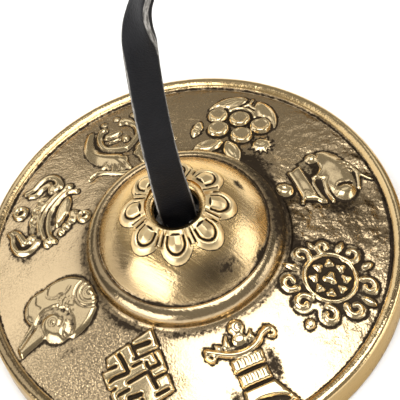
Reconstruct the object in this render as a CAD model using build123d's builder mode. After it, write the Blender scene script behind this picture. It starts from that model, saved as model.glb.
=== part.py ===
# A pair of tingsha hand cymbals on one knotted leather strap, in millimetres.
# Both cymbals lie bell up on the floor, side by side along X. The strap leaves the first
# bell, gives a quarter turn, arches over and goes down into the second bell, and a knot at
# each end bears on the underside of its bell. The origin is on the floor, midway.

import os
from math import cos, radians, sin, sqrt, tan

from build123d import *

# Spacing of the pair, and how far each cymbal has turned on the strap
pitch = 85.0
turns = {"cymbal_1": 0.0, "cymbal_2": 160.0}

# Rim: a heavy upright band with a rounded crest
rim_diameter = 75.0
rim_height = 6.5
crest_width = 2.5
crest_rise = 0.8
crest_round = 1.1
land_round = 0.6
land_width = 3.0

# Plate: the sloping field that carries the emblems
field_slope = 17.5
wall = 3.0
foot_diameter = 34.4
foot_flare = 1.3
flare_rise = 0.65

# Bell: a dome inside a rounded foot ring
ring_height = 3.0
ring_width = 2.1
ring_bulge = 0.7
groove_width = 0.5
groove_depth = 0.2
dome_height = 8.2
dome_bulge = 1.1
seat_width = 1.6
lip_round = 0.7

# Strap, and the room it has in the hole
strap_width = 5.5
strap_thickness = 1.7
hole_clearance = 1.5
twist = 90.0
twist_start = 35.0
twist_end = 52.0
station_step = 4.0
bend_share = 0.45

# Knots
knot_diameter = 12.4
knot_height = 7.6
knot_waist = 0.8
knot_clearance = 0.3
tail_length = 12.0
tail_droop = 35.0

# Relief
emblem_circle = 51.0
emblem_low = 0.7
emblem_high = 1.2
root_depth = 0.3
petal_count = 8
petal_start = 30.0
petal_length = 5.4
petal_width = 5.8
petal_reach = 10.3
petal_rise = 0.4

os.makedirs("parts", exist_ok=True)

# Heights and radii that follow from the sizes above
rim_radius = rim_diameter / 2
foot_radius = foot_diameter / 2
slope = tan(radians(field_slope))
field_radius = rim_radius - crest_width
field_edge_height = rim_height - crest_rise
flare_radius = foot_radius + foot_flare
flare_height = field_edge_height + (field_radius - flare_radius) * slope
ring_base_height = flare_height + foot_flare * slope + flare_rise
ring_top_height = ring_base_height + ring_height
groove_radius = foot_radius - ring_width
dome_radius = groove_radius - groove_width
hole_radius = strap_width / 2 + hole_clearance
lip_radius = hole_radius + lip_round
mouth_height = ring_top_height + dome_height
seat_height = mouth_height - wall
plate_drop = wall / cos(radians(field_slope))
land_radius = rim_radius - land_width
vault_radius = foot_radius - wall / 2
emblem_radius = emblem_circle / 2
places = {"cymbal_1": -pitch / 2, "cymbal_2": pitch / 2}


def field_height(radius):
    return field_edge_height + (field_radius - radius) * slope


# The dome's outer line, from the lip down, lifted by rise square to its chord
def dome_line(rise):
    run = dome_radius - lip_radius
    chord = sqrt(run**2 + dome_height**2)
    lift = (rise * dome_height / chord, rise * run / chord)
    top = (lip_radius + lift[0], mouth_height + lift[1])
    bottom = (dome_radius + lift[0], ring_top_height + lift[1])
    return SagittaArc(top, bottom, dome_bulge)


# A band along the field, from root_depth under its surface to rise above it
def field_band(rise):
    low = -root_depth / cos(radians(field_slope))
    high = rise / cos(radians(field_slope))
    inner = (flare_radius, field_height(flare_radius))
    outer = (field_radius, field_edge_height)
    with BuildPart() as band:
        with BuildSketch(Plane.XZ):
            with BuildLine():
                Polyline(
                    (inner[0], inner[1] + low),
                    (outer[0], outer[1] + low),
                    (outer[0], outer[1] + high),
                    (inner[0], inner[1] + high),
                    close=True,
                )
            make_face()
        revolve(axis=Axis.Z)
    return band.part


# A leaf with two pointed ends, lying along x
def leaf(length, width):
    with BuildSketch(mode=Mode.PRIVATE) as shape:
        with BuildLine():
            SagittaArc((-length / 2, 0), (length / 2, 0), width / 2)
            SagittaArc((length / 2, 0), (-length / 2, 0), width / 2)
        make_face()
    return shape.sketch


def place(shape, x, y, angle=0.0):
    with Locations(Location((x, y, 0), (0, 0, angle))):
        add(shape)


# The emblems, drawn with the bell above them: first what lies low, then what stands high
def lotus_low():
    for side in (-1, 1):
        place(leaf(7.4, 3.4), side * 3.7, -4.6, side * 48)
        place(leaf(4.4, 1.9), side * 6.5, 3.2, 90 - side * 12)
    place(leaf(5.4, 2.6), -2.0, 6.2, 118)
    place(leaf(5.0, 3.4), 2.6, 5.9, 72)
    place(leaf(4.0, 2.2), 0, -4.6, 90)


def lotus_high():
    with Locations((-2.2, 2.1), (2.3, 2.0), (-4.0, -1.2), (0.0, -1.7), (4.0, -1.4)):
        Circle(1.85)


def vase_low():
    with Locations((0, 2.9)):
        Trapezoid(8.6, 2.7, 72)
    place(leaf(6.0, 1.8), -1.4, -6.4, 28)


def vase_high():
    with Locations((0, -2.6)):
        Ellipse(6.0, 4.0)
    with Locations((0, 6.4)):
        Circle(1.7)


def wheel_low():
    with PolarLocations(6.3, 8, 29.0):
        Circle(1.75)
    place(leaf(3.0, 1.2), 0, 7.4, 90)


def wheel_high():
    Circle(4.6)
    Circle(3.8, mode=Mode.SUBTRACT)
    Circle(0.85)
    with PolarLocations(2.45, 8):
        Circle(0.78)


def banner_low():
    with Locations((0, -5.2)):
        Trapezoid(8.8, 4.2, 70)
    with Locations((0, 3.4)):
        Rectangle(4.6, 2.0)


def banner_high():
    with Locations((0, 0.6)):
        Rectangle(6.2, 2.3)
    with Locations((0, -1.9)):
        Rectangle(5.6, 2.0)
    with Locations((0, 6.4)):
        Circle(1.35)
    with BuildSketch(mode=Mode.PRIVATE) as canopy:
        with BuildLine():
            SagittaArc((-5.9, 4.2), (5.9, 4.2), -2.2)
            SagittaArc((5.9, 4.2), (-5.9, 4.2), 1.1)
        make_face()
    add(canopy.sketch)


def knot_low():
    with Locations((0, 0.3)):
        Rectangle(9.6, 9.6, rotation=45)


def knot_high():
    bar_pitch = 2.9
    for row in (-1, 0, 1):
        for angle in (45, 135):
            across = radians(angle + 90)
            with Locations((row * bar_pitch * cos(across), 0.3 + row * bar_pitch * sin(across))):
                Rectangle(10.4, 1.5, rotation=angle)


def conch_low():
    with Locations((0, 1.2)):
        Ellipse(5.5, 6.6)
    place(leaf(9.6, 3.4), 0.2, -4.9, 97)


def conch_high():
    with Locations((1.6, -0.4)):
        Circle(2.9)
    with Locations((0.2, 6.0)):
        Ellipse(2.4, 1.6)


def parasol_low():
    for side in (-1, 1):
        place(leaf(7.0, 3.0), side * 5.6, -3.4, side * 62)
    with Locations((0, -1.6)):
        Ellipse(5.2, 2.2)


def parasol_high():
    with Locations((0, 6.4), (0, -6.3)):
        Circle(1.3)
        Circle(0.5, mode=Mode.SUBTRACT)
    place(leaf(8.6, 3.4), 0, 2.7)
    with Locations((-5.8, 0.8), (5.8, 0.8)):
        Circle(0.9)
    with BuildSketch(mode=Mode.PRIVATE) as brim:
        with BuildLine():
            SagittaArc((-5.6, 1.4), (5.6, 1.4), -2.6)
            SagittaArc((5.6, 1.4), (-5.6, 1.4), 1.4)
        make_face()
    add(brim.sketch)


def fish_low():
    for side in (-1, 1):
        place(leaf(4.6, 1.5), side * 2.6, 6.4, 90 - side * 34)
        place(leaf(4.6, 1.5), side * 1.1, 6.0, 90 + side * 12)


def fish_high():
    for side in (-1, 1):
        with BuildSketch(mode=Mode.PRIVATE) as body:
            with BuildLine():
                SagittaArc((side * 0.9, 4.6), (side * 1.3, -6.4), side * 4.4)
                SagittaArc((side * 1.3, -6.4), (side * 0.9, 4.6), -side * 2.0)
            make_face()
        add(body.sketch)


# Each emblem's angle round the bell: they were set out by hand, so the spacing is uneven
emblems = {
    "lotus": (55.0, lotus_low, lotus_high),
    "vase": (11.5, vase_low, vase_high),
    "wheel": (-34.5, wheel_low, wheel_high),
    "banner": (-81.0, banner_low, banner_high),
    "endless_knot": (-124.9, knot_low, knot_high),
    "conch": (-168.4, conch_low, conch_high),
    "parasol": (144.8, parasol_low, parasol_high),
    "fish": (97.0, fish_low, fish_high),
}


# The plane under an emblem: x runs round the bell, y points at the bell
def emblem_plane(angle):
    turn = radians(angle)
    return Plane(
        origin=(emblem_radius * cos(turn), emblem_radius * sin(turn), field_edge_height - wall),
        x_dir=(-sin(turn), cos(turn), 0),
        z_dir=(0, 0, 1),
    )


def emblem_relief(level, rise):
    with BuildPart() as relief:
        for settings in emblems.values():
            with BuildSketch(emblem_plane(settings[0])):
                settings[level]()
        extrude(amount=mouth_height)
        add(field_band(rise), mode=Mode.INTERSECT)
    return relief.part


# A band along the dome, from root_depth under its surface to rise above it
def dome_band(rise):
    with BuildPart() as band:
        with BuildSketch(Plane.XZ):
            with BuildLine():
                outer_line = dome_line(rise)
                inner_line = dome_line(-root_depth)
                Line(outer_line @ 0, inner_line @ 0)
                Line(outer_line @ 1, inner_line @ 1)
            make_face()
        revolve(axis=Axis.Z)
    return band.part


# The rosette: petals round the hole, following the dome
with BuildPart() as rosette:
    with BuildSketch(Plane.XY.offset(ring_top_height)):
        with PolarLocations(petal_reach - petal_length / 2, petal_count, petal_start):
            Ellipse(petal_length / 2, petal_width / 2)
        Circle(lip_radius, mode=Mode.SUBTRACT)
    extrude(amount=dome_height + petal_rise)
    add(dome_band(petal_rise), mode=Mode.INTERSECT)

# The casting: one turned profile, with the relief cast on
with BuildPart() as cymbal:
    with BuildSketch(Plane.XZ):
        with BuildLine():
            dome = dome_line(0)
            groove = SagittaArc(dome @ 1, (groove_radius, ring_top_height), -groove_depth)
            ring = SagittaArc(groove @ 1, (foot_radius, ring_base_height), ring_bulge)
            flare = SagittaArc(ring @ 1, (flare_radius, flare_height), -foot_flare / 5)
            field = Line(flare @ 1, (field_radius, field_edge_height))
            crest_top = (rim_radius - crest_round, rim_height)
            TangentArc(crest_top, field @ 1, tangent=(-1, 0))
            RadiusArc(crest_top, (rim_radius, rim_height - crest_round), crest_round)
            Line((rim_radius, rim_height - crest_round), (rim_radius, land_round))
            RadiusArc((rim_radius, land_round), (rim_radius - land_round, 0), land_round)
            Line((rim_radius - land_round, 0), (land_radius, 0))
            underside = Line(
                (land_radius - land_round, field_height(land_radius) - plate_drop),
                (foot_radius, field_height(foot_radius) - plate_drop),
            )
            Line((land_radius, 0), underside @ 0)
            inner_step = Line(underside @ 1, (vault_radius, ring_base_height - wall / 2))
            vault = SagittaArc(
                inner_step @ 1, (hole_radius + seat_width, seat_height), -dome_bulge
            )
            seat = Line(vault @ 1, (hole_radius, seat_height))
            bore = Line(seat @ 1, (hole_radius, mouth_height - lip_round))
            RadiusArc(bore @ 1, dome @ 0, lip_round)
        make_face()
    revolve(axis=Axis.Z)
    add(rosette.part)
    add(emblem_relief(1, emblem_low))
    add(emblem_relief(2, emblem_high))

for name, x in places.items():
    with BuildPart() as placed:
        with Locations(Location((x, 0, 0), (0, 0, turns[name]))):
            add(cymbal.part)
    placed.part.label = name
    export_step(placed.part, f"parts/{name}.step")
    print(name, "volume", round(placed.part.volume), "solids", len(placed.part.solids()))

# The strap's route, from the mouth of each hole up to the arch
rise_1 = [(0, 0, 0), (0, 0, 9), (0.5, 2.6, 19.5), (1.5, 5.8, 31), (3.2, 8.4, 42)]
rise_1 += [(9.5, 9.8, 54), (21, 9, 64), (35, 7, 68.5)]
rise_2 = [(-35, 7, 68.5), (-20, 5.5, 64), (-9, 3.6, 54), (-3, 1.6, 40.5)]
rise_2 += [(-0.6, 0.4, 27), (0, 0, 13), (0, 0, 0)]
mouth_1 = Vector(places["cymbal_1"], 0, mouth_height)
mouth_2 = Vector(places["cymbal_2"], 0, mouth_height)
route = [mouth_1 + Vector(*point) for point in rise_1]
route += [mouth_2 + Vector(*point) for point in rise_2]
fold_point = (route[len(rise_1) - 1] + route[len(rise_1)]) / 2
runs = [after - before for before, after in zip(route, route[1:])]
bends = []
for before, after in zip(runs, runs[1:]):
    half_turn = radians(before.get_angle(after)) / 2
    bends.append(bend_share * min(before.length, after.length) / tan(half_turn))
print("strap bend radii", [round(bend) for bend in bends])
strap_line = FilletPolyline(*route, radius=bends)
fold_share = strap_line.param_at_point(fold_point)
print("strap length", round(strap_line.length, 1), "fold at", fold_point)


# The strap's section at a share of its length: its width turns through the twist
def strap_plane(share):
    along = min(max(share * strap_line.length - twist_start, 0), twist_end - twist_start)
    part_turned = along / (twist_end - twist_start)
    turned = radians(twist) * part_turned**2 * (3 - 2 * part_turned)
    tangent = strap_line % share
    side = (Vector(0, 1, 0) - tangent * tangent.Y).normalized()
    front = side.cross(tangent)
    return Plane(
        origin=strap_line @ share,
        x_dir=front * cos(turned) - side * sin(turned),
        z_dir=tangent,
    )


for name, start, end in (("strap_1", 0, fold_share), ("strap_2", fold_share, 1)):
    steps = round((end - start) * strap_line.length / station_step)
    with BuildPart() as strap:
        for step in range(steps + 1):
            with BuildSketch(strap_plane(start + (end - start) * step / steps)):
                Rectangle(strap_width, strap_thickness)
        loft(ruled=True)
    strap.part.label = name
    export_step(strap.part, f"parts/{name}.step")
    plain = strap_width * strap_thickness * (end - start) * strap_line.length
    print(name, "volume", round(strap.part.volume), "section by length", round(plain))

# The knots: two wraps of the strap under the seat, the run through the hole, and a tail
knot_top = seat_height - knot_clearance
knot_radius = knot_diameter / 2
wrap = knot_height / 2
strap_turns = {"cymbal_1": 0.0, "cymbal_2": -twist}
for number, (host, x) in enumerate(places.items(), start=1):
    centre = Location((x, 0, 0), (0, 0, strap_turns[host]))
    with BuildPart() as knot:
        with BuildSketch(Plane.XZ):
            with BuildLine():
                top = Line((0, knot_top), (knot_radius - wrap / 2, knot_top))
                upper = TangentArc(top @ 1, (knot_radius - knot_waist, knot_top - wrap), tangent=(1, 0))
                lower_edge = (knot_radius - wrap / 2, knot_top - 2 * wrap)
                TangentArc(lower_edge, upper @ 1, tangent=(1, 0))
                Polyline(lower_edge, (0, knot_top - 2 * wrap), (0, knot_top))
            make_face()
        revolve(axis=Axis.Z)
        with BuildSketch(Plane.XY.offset(knot_top - wrap)):
            Rectangle(strap_width, strap_thickness)
        extrude(amount=mouth_height - knot_top + wrap)
        tail_plane = Plane(
            origin=(0, 0, knot_top - wrap),
            x_dir=(0, 1, 0),
            z_dir=(cos(radians(tail_droop)), 0, -sin(radians(tail_droop))),
        )
        with BuildSketch(tail_plane):
            Rectangle(strap_width, strap_thickness)
        extrude(amount=tail_length)
    with BuildPart() as placed_knot:
        with Locations(centre):
            add(knot.part)
    placed_knot.part.label = f"knot_{number}"
    export_step(placed_knot.part, f"parts/knot_{number}.step")
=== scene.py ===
# Tingsha cymbals: two antiqued brass castings with raised emblems on one black leather strap.
# Lengths of the object are in millimetres in the settings, and become metres through mm.
import math

import bmesh
import bpy
import numpy as np
from mathutils import Matrix, Vector


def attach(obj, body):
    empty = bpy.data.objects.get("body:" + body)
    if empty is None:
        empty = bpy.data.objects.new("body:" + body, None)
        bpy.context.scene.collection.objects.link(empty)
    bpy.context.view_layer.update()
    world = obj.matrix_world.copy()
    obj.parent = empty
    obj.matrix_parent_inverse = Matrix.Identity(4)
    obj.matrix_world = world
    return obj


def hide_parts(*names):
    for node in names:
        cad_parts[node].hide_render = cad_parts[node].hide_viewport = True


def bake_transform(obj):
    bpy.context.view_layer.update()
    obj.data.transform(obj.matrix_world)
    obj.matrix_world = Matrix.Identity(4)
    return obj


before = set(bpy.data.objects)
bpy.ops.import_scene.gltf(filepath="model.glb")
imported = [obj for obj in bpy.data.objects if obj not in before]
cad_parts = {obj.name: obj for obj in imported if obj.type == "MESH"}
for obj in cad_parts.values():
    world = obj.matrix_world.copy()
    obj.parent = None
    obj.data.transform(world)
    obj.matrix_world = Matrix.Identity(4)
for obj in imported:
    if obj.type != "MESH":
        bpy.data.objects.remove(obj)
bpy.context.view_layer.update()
mm = 0.001

# Where the pair lies: x of each bell, how far it and its knot have turned, and the CAD names
pair = {
    "cymbal_1": {"x": -42.5, "turn": 0.0, "knotTurn": 0.0, "knot": "knot_1", "strap": "strap_1"},
    "cymbal_2": {"x": 42.5, "turn": 160.0, "knotTurn": -90.0, "knot": "knot_2", "strap": "strap_2"},
}

# The casting's turned profile
casting = {
    "rimRadius": 37.5, "rimHeight": 6.5, "crestWidth": 2.5, "crestRise": 0.8, "crestRound": 1.1,
    "crestBulge": 0.22, "landRound": 0.6, "landWidth": 3.0, "fieldSlope": 17.5, "wall": 3.0,
    "footRadius": 17.2, "footFlare": 1.3, "flareRise": 0.65, "ringHeight": 3.0, "ringWidth": 2.1,
    "ringBulge": 0.7, "grooveWidth": 0.5, "grooveDepth": 0.2, "domeHeight": 8.2, "domeBulge": 1.1,
    "seatWidth": 1.6, "lipRound": 0.7, "holeRadius": 4.25, "throatIn": 0.3, "stepsAround": 576,
}

slope = math.tan(math.radians(casting["fieldSlope"]))
fieldRadius = casting["rimRadius"] - casting["crestWidth"]
fieldEdge = casting["rimHeight"] - casting["crestRise"]
flareRadius = casting["footRadius"] + casting["footFlare"]
flareHeight = fieldEdge + (fieldRadius - flareRadius) * slope
ringBase = flareHeight + casting["footFlare"] * slope + casting["flareRise"]
ringTop = ringBase + casting["ringHeight"]
grooveRadius = casting["footRadius"] - casting["ringWidth"]
domeRadius = grooveRadius - casting["grooveWidth"]
lipRadius = casting["holeRadius"] + casting["lipRound"]
mouthHeight = ringTop + casting["domeHeight"]
seatHeight = mouthHeight - casting["wall"]


def fieldHeight(radius):
    return fieldEdge + (fieldRadius - radius) * slope


def fresh(library, name, *kind):
    # A new data block in place of any that had its name
    if name in library:
        library.remove(library[name])
    return library.new(name, *kind)


def newObject(name, data):
    made = bpy.data.objects.new(name, data)
    bpy.context.scene.collection.objects.link(made)
    return made


def newCurve(name, kind, points):
    curve = bpy.data.curves.new(name, "CURVE")
    curve.dimensions = "3D"
    spline = curve.splines.new(kind)
    spline.points.add(len(points) - 1)
    for slot, point in zip(spline.points, points):
        slot.co = (*point, 1.0)
    return newObject(name, curve), spline


def takeMesh(made):
    # The evaluated shape of an object as a mesh of its own; the object goes
    depsgraph = bpy.context.evaluated_depsgraph_get()
    mesh = bpy.data.meshes.new_from_object(made.evaluated_get(depsgraph))
    bpy.data.objects.remove(made)
    return mesh


def plainMesh(made, name):
    mesh = takeMesh(made)
    mesh.name = name
    mesh.shade_smooth()
    return newObject(name, mesh)


def setAttributes(mesh, **layers):
    # One value for each vertex; a single number stands for all of them
    for name, values in layers.items():
        values = np.broadcast_to(np.ravel(values), len(mesh.vertices)).astype(np.float32)
        mesh.attributes.new(name, "FLOAT", "POINT").data.foreach_set("value", values)


def meshPoints(mesh):
    points = np.zeros(len(mesh.vertices) * 3, np.float32)
    mesh.vertices.foreach_get("co", points)
    return points.reshape(-1, 3).astype(float)


# Camera, at the photograph's angle; the image is square
cameraSettings = {
    "target": (-42.5, 0.0, 6.5), "elevation": 59.09, "roll": 17.66, "distance": 350.0, "nearest": 0.01,
    "focalPixels": 2006.0, "targetPixel": (190.7, 253.7), "imagePixels": 400.0, "sensor": 36.0,
}


def makeCamera(s):
    lift = math.radians(s["elevation"])
    roll = math.radians(s["roll"])
    back = Vector((0, -math.cos(lift), math.sin(lift)))
    level = Vector((1, 0, 0))
    upright = back.cross(level)
    right = level * math.cos(roll) - upright * math.sin(roll)
    up = level * math.sin(roll) + upright * math.cos(roll)
    half = s["imagePixels"] / 2
    offRight = (half - s["targetPixel"][0]) / s["focalPixels"]
    offUp = (s["targetPixel"][1] - half) / s["focalPixels"]
    aim = (-back + right * offRight + up * offUp).normalized()
    side = (right - aim * right.dot(aim)).normalized()
    top = side.cross(aim)
    data = bpy.data.cameras.new("camera")
    data.sensor_width = s["sensor"]
    data.lens = s["sensor"] * s["focalPixels"] / s["imagePixels"]
    data.clip_start = s["nearest"]
    camera = newObject("camera", data)
    place = Vector(s["target"]) * mm + back * s["distance"] * mm
    camera.matrix_world = Matrix.Translation(place) @ Matrix((side, top, -aim)).transposed().to_4x4()
    bpy.context.scene.camera = camera


makeCamera(cameraSettings)
print("camera ready")


# Node helpers
class Value:
    # A node's output, which sums can be written with
    def __init__(self, tree, socket):
        self.tree, self.socket = tree, socket

    def join(self, operation, other):
        return value(self.tree, "ShaderNodeMath", {"operation": operation}, _0=self, _1=other)

    def __add__(self, other):
        return self.join("ADD", other)

    def __sub__(self, other):
        return self.join("SUBTRACT", other)

    def __mul__(self, other):
        return self.join("MULTIPLY", other)


def addNode(tree, kind, settings=None, **inputs):
    # Inputs are plain numbers or another node's output; settings are the node's own properties
    node = tree.nodes.new(kind)
    for key, wanted in (settings or {}).items():
        setattr(node, key, wanted)
    for key, wanted in inputs.items():
        socket = node.inputs[int(key[1:])] if key[0] == "_" else node.inputs[key.replace("_", " ")]
        if isinstance(wanted, Value):
            tree.links.new(wanted.socket, socket)
        else:
            socket.default_value = wanted
    return node


def value(tree, kind, settings=None, which=0, **inputs):
    return Value(tree, addNode(tree, kind, settings, **inputs).outputs[which])


def named(tree, node):
    return {output.name: Value(tree, output) for output in node.outputs}


def mixColour(factor, first, second):
    return value(factor.tree, "ShaderNodeMix", {"data_type": "RGBA"}, 2, _0=factor, _6=first, _7=second)


def remap(given, low, high, toLow=0.0, toHigh=1.0):
    return value(given.tree, "ShaderNodeMapRange", {"interpolation_type": "SMOOTHSTEP"}, Value=given,
                 From_Min=low, From_Max=high, To_Min=toLow, To_Max=toHigh)


def noise(place, scale, detail=4.0, rough=0.55):
    return value(place.tree, "ShaderNodeTexNoise", Vector=place, Scale=scale, Detail=detail, Roughness=rough)


def attribute(tree, name):
    return value(tree, "ShaderNodeAttribute", {"attribute_name": name}, "Fac")


def bumped(height, strength, depth):
    return value(height.tree, "ShaderNodeBump", Height=height, Strength=strength, Distance=depth * mm)


def newMaterial(name):
    material = fresh(bpy.data.materials, name)
    material.use_nodes = True
    material.node_tree.nodes.clear()
    return material, material.node_tree


def showSurface(tree, **inputs):
    addNode(tree, "ShaderNodeOutputMaterial", Surface=value(tree, "ShaderNodeBsdfPrincipled", **inputs))


def newGroup(name, kind, inputs, outputs):
    # The names of the sockets are listed by their type
    group = fresh(bpy.data.node_groups, name, kind)
    for way, sockets in (("INPUT", inputs), ("OUTPUT", outputs)):
        for socketType, labels in sockets.items():
            for label in labels.split():
                group.interface.new_socket(label, in_out=way, socket_type=f"NodeSocket{socketType}")
    return group, named(group, group.nodes.new("NodeGroupInput"))


def useGroup(tree, group, **inputs):
    return named(tree, addNode(tree, "ShaderNodeGroup", {"node_tree": group}, **inputs))


skinSettings = {"patchScale": 70.0, "wrinkleScale": 440.0, "slowScale": 130.0, "slowDepth": 0.5,
                "pebbleDepth": 0.7, "grainDepth": 0.6, "smoothness": 0.4}


def castSkinGroup(s):
    # Sand-cast skin: fine pebbles and soft wrinkles, gathered in patches, over slow unevenness
    group, given = newGroup("castSkin", "ShaderNodeTree",
                            {"Vector": "Place", "Float": "Pebbles Wrinkles Fineness"},
                            {"Float": "Height Pits"})
    place, fineness = given["Place"], given["Fineness"]
    patches = remap(noise(place, s["patchScale"], 3.0), 0.34, 0.56, 0.25, 1.0)
    grain = noise(place, fineness, 3.0, 0.6)
    pebbles = value(group, "ShaderNodeTexVoronoi", {"feature": "SMOOTH_F1"},
                    Vector=place, Scale=fineness, Smoothness=s["smoothness"])
    amount = patches * given["Pebbles"]
    rough = pebbles * s["pebbleDepth"] + grain * s["grainDepth"]
    slow = noise(place, s["slowScale"], 2.0) * s["slowDepth"]
    wrinkles = noise(place, s["wrinkleScale"], 2.0) * (patches * given["Wrinkles"])
    addNode(group, "NodeGroupOutput", Height=rough * amount + (slow + wrinkles),
            Pits=remap(grain, 0.60, 0.42) * amount)
    return group


antiqueAndShadeSettings = {"stainScale": 240.0, "speckScale": 1700.0, "cloudScale": 60.0, "ragged": 1.1,
                   "broken": 1.3, "inPits": 0.85, "clouded": 0.12}


def antiqueAndShadeGroup(s):
    # Dark antiquing, together with painted shade, held in the hollows and rubbed off the high spots, over a
    # thin brown film that also carries painted shade and painted dark reflections
    group, given = newGroup(
        "antiquedAndShaded", "ShaderNodeTree",
        {"Vector": "Place", "Float": "Hollow Rubbed Pits Film", "Color": "Metal Worn Dark Brown"},
        {"Color": "Colour", "Float": "Tarnish"})
    place = given["Place"]
    ragged = (noise(place, s["stainScale"], 5.0, 0.62) - 0.5) * s["ragged"]
    broken = (noise(place, s["speckScale"], 3.0, 0.7) - 0.5) * s["broken"]
    clouds = remap(noise(place, s["cloudScale"], 3.0), 0.40, 0.72) * s["clouded"]
    tarnishAndShade = remap(given["Hollow"] + (ragged + broken), 0.32, 0.86)
    tarnishAndShade = tarnishAndShade.join("MAXIMUM", given["Pits"] * s["inPits"]).join("MAXIMUM", clouds)
    bare = mixColour(given["Rubbed"], given["Metal"], given["Worn"])
    # The brown film also carries painted shade and painted dark reflections
    bare = mixColour(given["Film"], bare, given["Brown"])
    addNode(group, "NodeGroupOutput", Colour=mixColour(tarnishAndShade, bare, given["Dark"]), Tarnish=tarnishAndShade)
    return group


castSkin = castSkinGroup(skinSettings)
antiquedAndShaded = antiqueAndShadeGroup(antiqueAndShadeSettings)

# Dark is the antiquing and also painted shade; brown is the film and also painted shade and dark reflections
brassTones = {
    "ground": (0.74, 0.565, 0.34, 1), "relief": (0.86, 0.68, 0.42, 1), "worn": (0.95, 0.76, 0.45, 1),
    "golden": (0.84, 0.57, 0.24, 1), "dark": (0.036, 0.025, 0.016, 1),
    "brown": (0.23, 0.168, 0.095, 1), "edge": (0.94, 0.80, 0.58, 1),
}
# What both kinds of brass share: the size in metres and the shine of brush strokes, and the tarnish and
# painted shade
brassFinish = {"brushSize": (0.005, 0.0004, 0.005), "brushShine": 0.3, "tarnishAndShadeRough": 0.62,
               "tarnishAndShadeMetal": 0.75}


def brassMaterial(name, metal, s):
    material, tree = newMaterial(name)
    place = value(tree, "ShaderNodeTexCoord", None, "Object")
    layers = ("hollow", "rubbed", "gilt", "film", "sandy", "wrinkled", "brushed")
    hollow, rubbed, gilt, film, sandy, wrinkled, brushed = (attribute(tree, layer) for layer in layers)
    way = value(tree, "ShaderNodeMapping", {"vector_type": "TEXTURE"}, Vector=place,
                Rotation=(0.0, 0.0, s["brushWay"]), Scale=brassFinish["brushSize"])
    strokes = (noise(way, 1.0, 3.0, 0.6) - 0.5) * brushed
    skin = useGroup(tree, castSkin, Place=place, Fineness=s["fineness"], Pebbles=sandy * s["pebbles"],
                    Wrinkles=wrinkled * s["wrinkles"])
    finish = useGroup(tree, antiquedAndShaded, Place=place, Hollow=hollow, Rubbed=rubbed, Pits=skin["Pits"], Film=film,
                      Metal=mixColour(gilt, metal, brassTones["golden"]), Worn=brassTones["worn"],
                      Dark=brassTones["dark"], Brown=brassTones["brown"])
    tarnishAndShade = finish["Tarnish"]
    rough = remap(tarnishAndShade, 0.0, 1.0, s["rough"], brassFinish["tarnishAndShadeRough"]) - rubbed * s["polish"]
    satin = brushed * s["satin"] + strokes * brassFinish["brushShine"]
    height = skin["Height"] + strokes * s["brushDepth"]
    showSurface(tree, Base_Color=finish["Colour"], Roughness=rough + satin,
                Metallic=remap(tarnishAndShade, 0.0, 1.0, 1.0, brassFinish["tarnishAndShadeMetal"]),
                Specular_Tint=brassTones["edge"], Normal=bumped(height, s["bump"], s["bumpDepth"]))
    return material


groundBrass = brassMaterial("antiqueBrassGround", brassTones["ground"], {
    "pebbles": 1.0, "wrinkles": 7.0, "fineness": 2700.0, "rough": 0.21, "polish": 0.20, "bump": 0.9,
    "bumpDepth": 0.24, "satin": 0.05, "brushDepth": 0.16, "brushWay": -0.8})
reliefBrass = brassMaterial("antiqueBrassRelief", brassTones["relief"], {
    "pebbles": 0.4, "wrinkles": 2.8, "fineness": 2600.0, "rough": 0.24, "polish": 0.08, "bump": 0.4,
    "bumpDepth": 0.08, "satin": 0.16, "brushDepth": 0.0, "brushWay": 0.0})

leather = {
    "face": (0.006, 0.006, 0.0075, 1), "rub": (0.012, 0.012, 0.014, 1), "raw": (0.40, 0.38, 0.35, 1),
    "rawDark": (0.10, 0.094, 0.085, 1), "fineness": 1700.0, "wearScale": 160.0, "wearDepth": 0.6,
    "fibreScale": (3000.0, 500.0, 1.0), "torn": 0.3, "rawRough": 0.3, "bump": 0.5, "bumpDepth": 0.05,
    "sheen": 0.14,
}


def leatherGroup(s):
    # Fine crackle of a finished leather face, with a slow rub of lighter wear
    group, given = newGroup("leatherGrain", "ShaderNodeTree",
                            {"Vector": "Place", "Float": "Fineness", "Color": "Face Rub"},
                            {"Color": "Colour", "Float": "Height Wear"})
    cells = value(group, "ShaderNodeTexVoronoi", {"feature": "DISTANCE_TO_EDGE"},
                  Vector=given["Place"], Scale=given["Fineness"])
    wear = remap(noise(given["Place"], s["wearScale"], 5.0, 0.65), 0.46, 0.78)
    addNode(group, "NodeGroupOutput", Colour=mixColour(wear, given["Face"], given["Rub"]), Wear=wear,
            Height=remap(cells, 0.0, 0.22) + wear * s["wearDepth"])
    return group


leatherGrain = leatherGroup(leather)


def strapMaterial(s):
    # Black face, and pale cut edges where the fibres show
    material, tree = newMaterial("strapLeather")
    place = value(tree, "ShaderNodeUVMap", {"uv_map": "along"})
    grain = useGroup(tree, leatherGrain, Place=place, Fineness=s["fineness"], Face=s["face"], Rub=s["rub"])
    fibres = noise(value(tree, "ShaderNodeMapping", Vector=place, Scale=s["fibreScale"]), 1.0, 3.0, 0.7)
    cut = mixColour(remap(fibres, 0.35, 0.65), s["rawDark"], s["raw"])
    edge = remap(attribute(tree, "rawEdge") + fibres * s["torn"], 0.55, 0.95)
    rough = remap(grain["Wear"], 0.0, 1.0, 0.46, 0.62) + edge * s["rawRough"]
    showSurface(tree, Base_Color=mixColour(edge, grain["Colour"], cut), Roughness=rough,
                Normal=bumped(grain["Height"] + fibres * edge, s["bump"], s["bumpDepth"]),
                Specular_IOR_Level=s["sheen"])
    return material


strapLeather = strapMaterial(leather)


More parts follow.
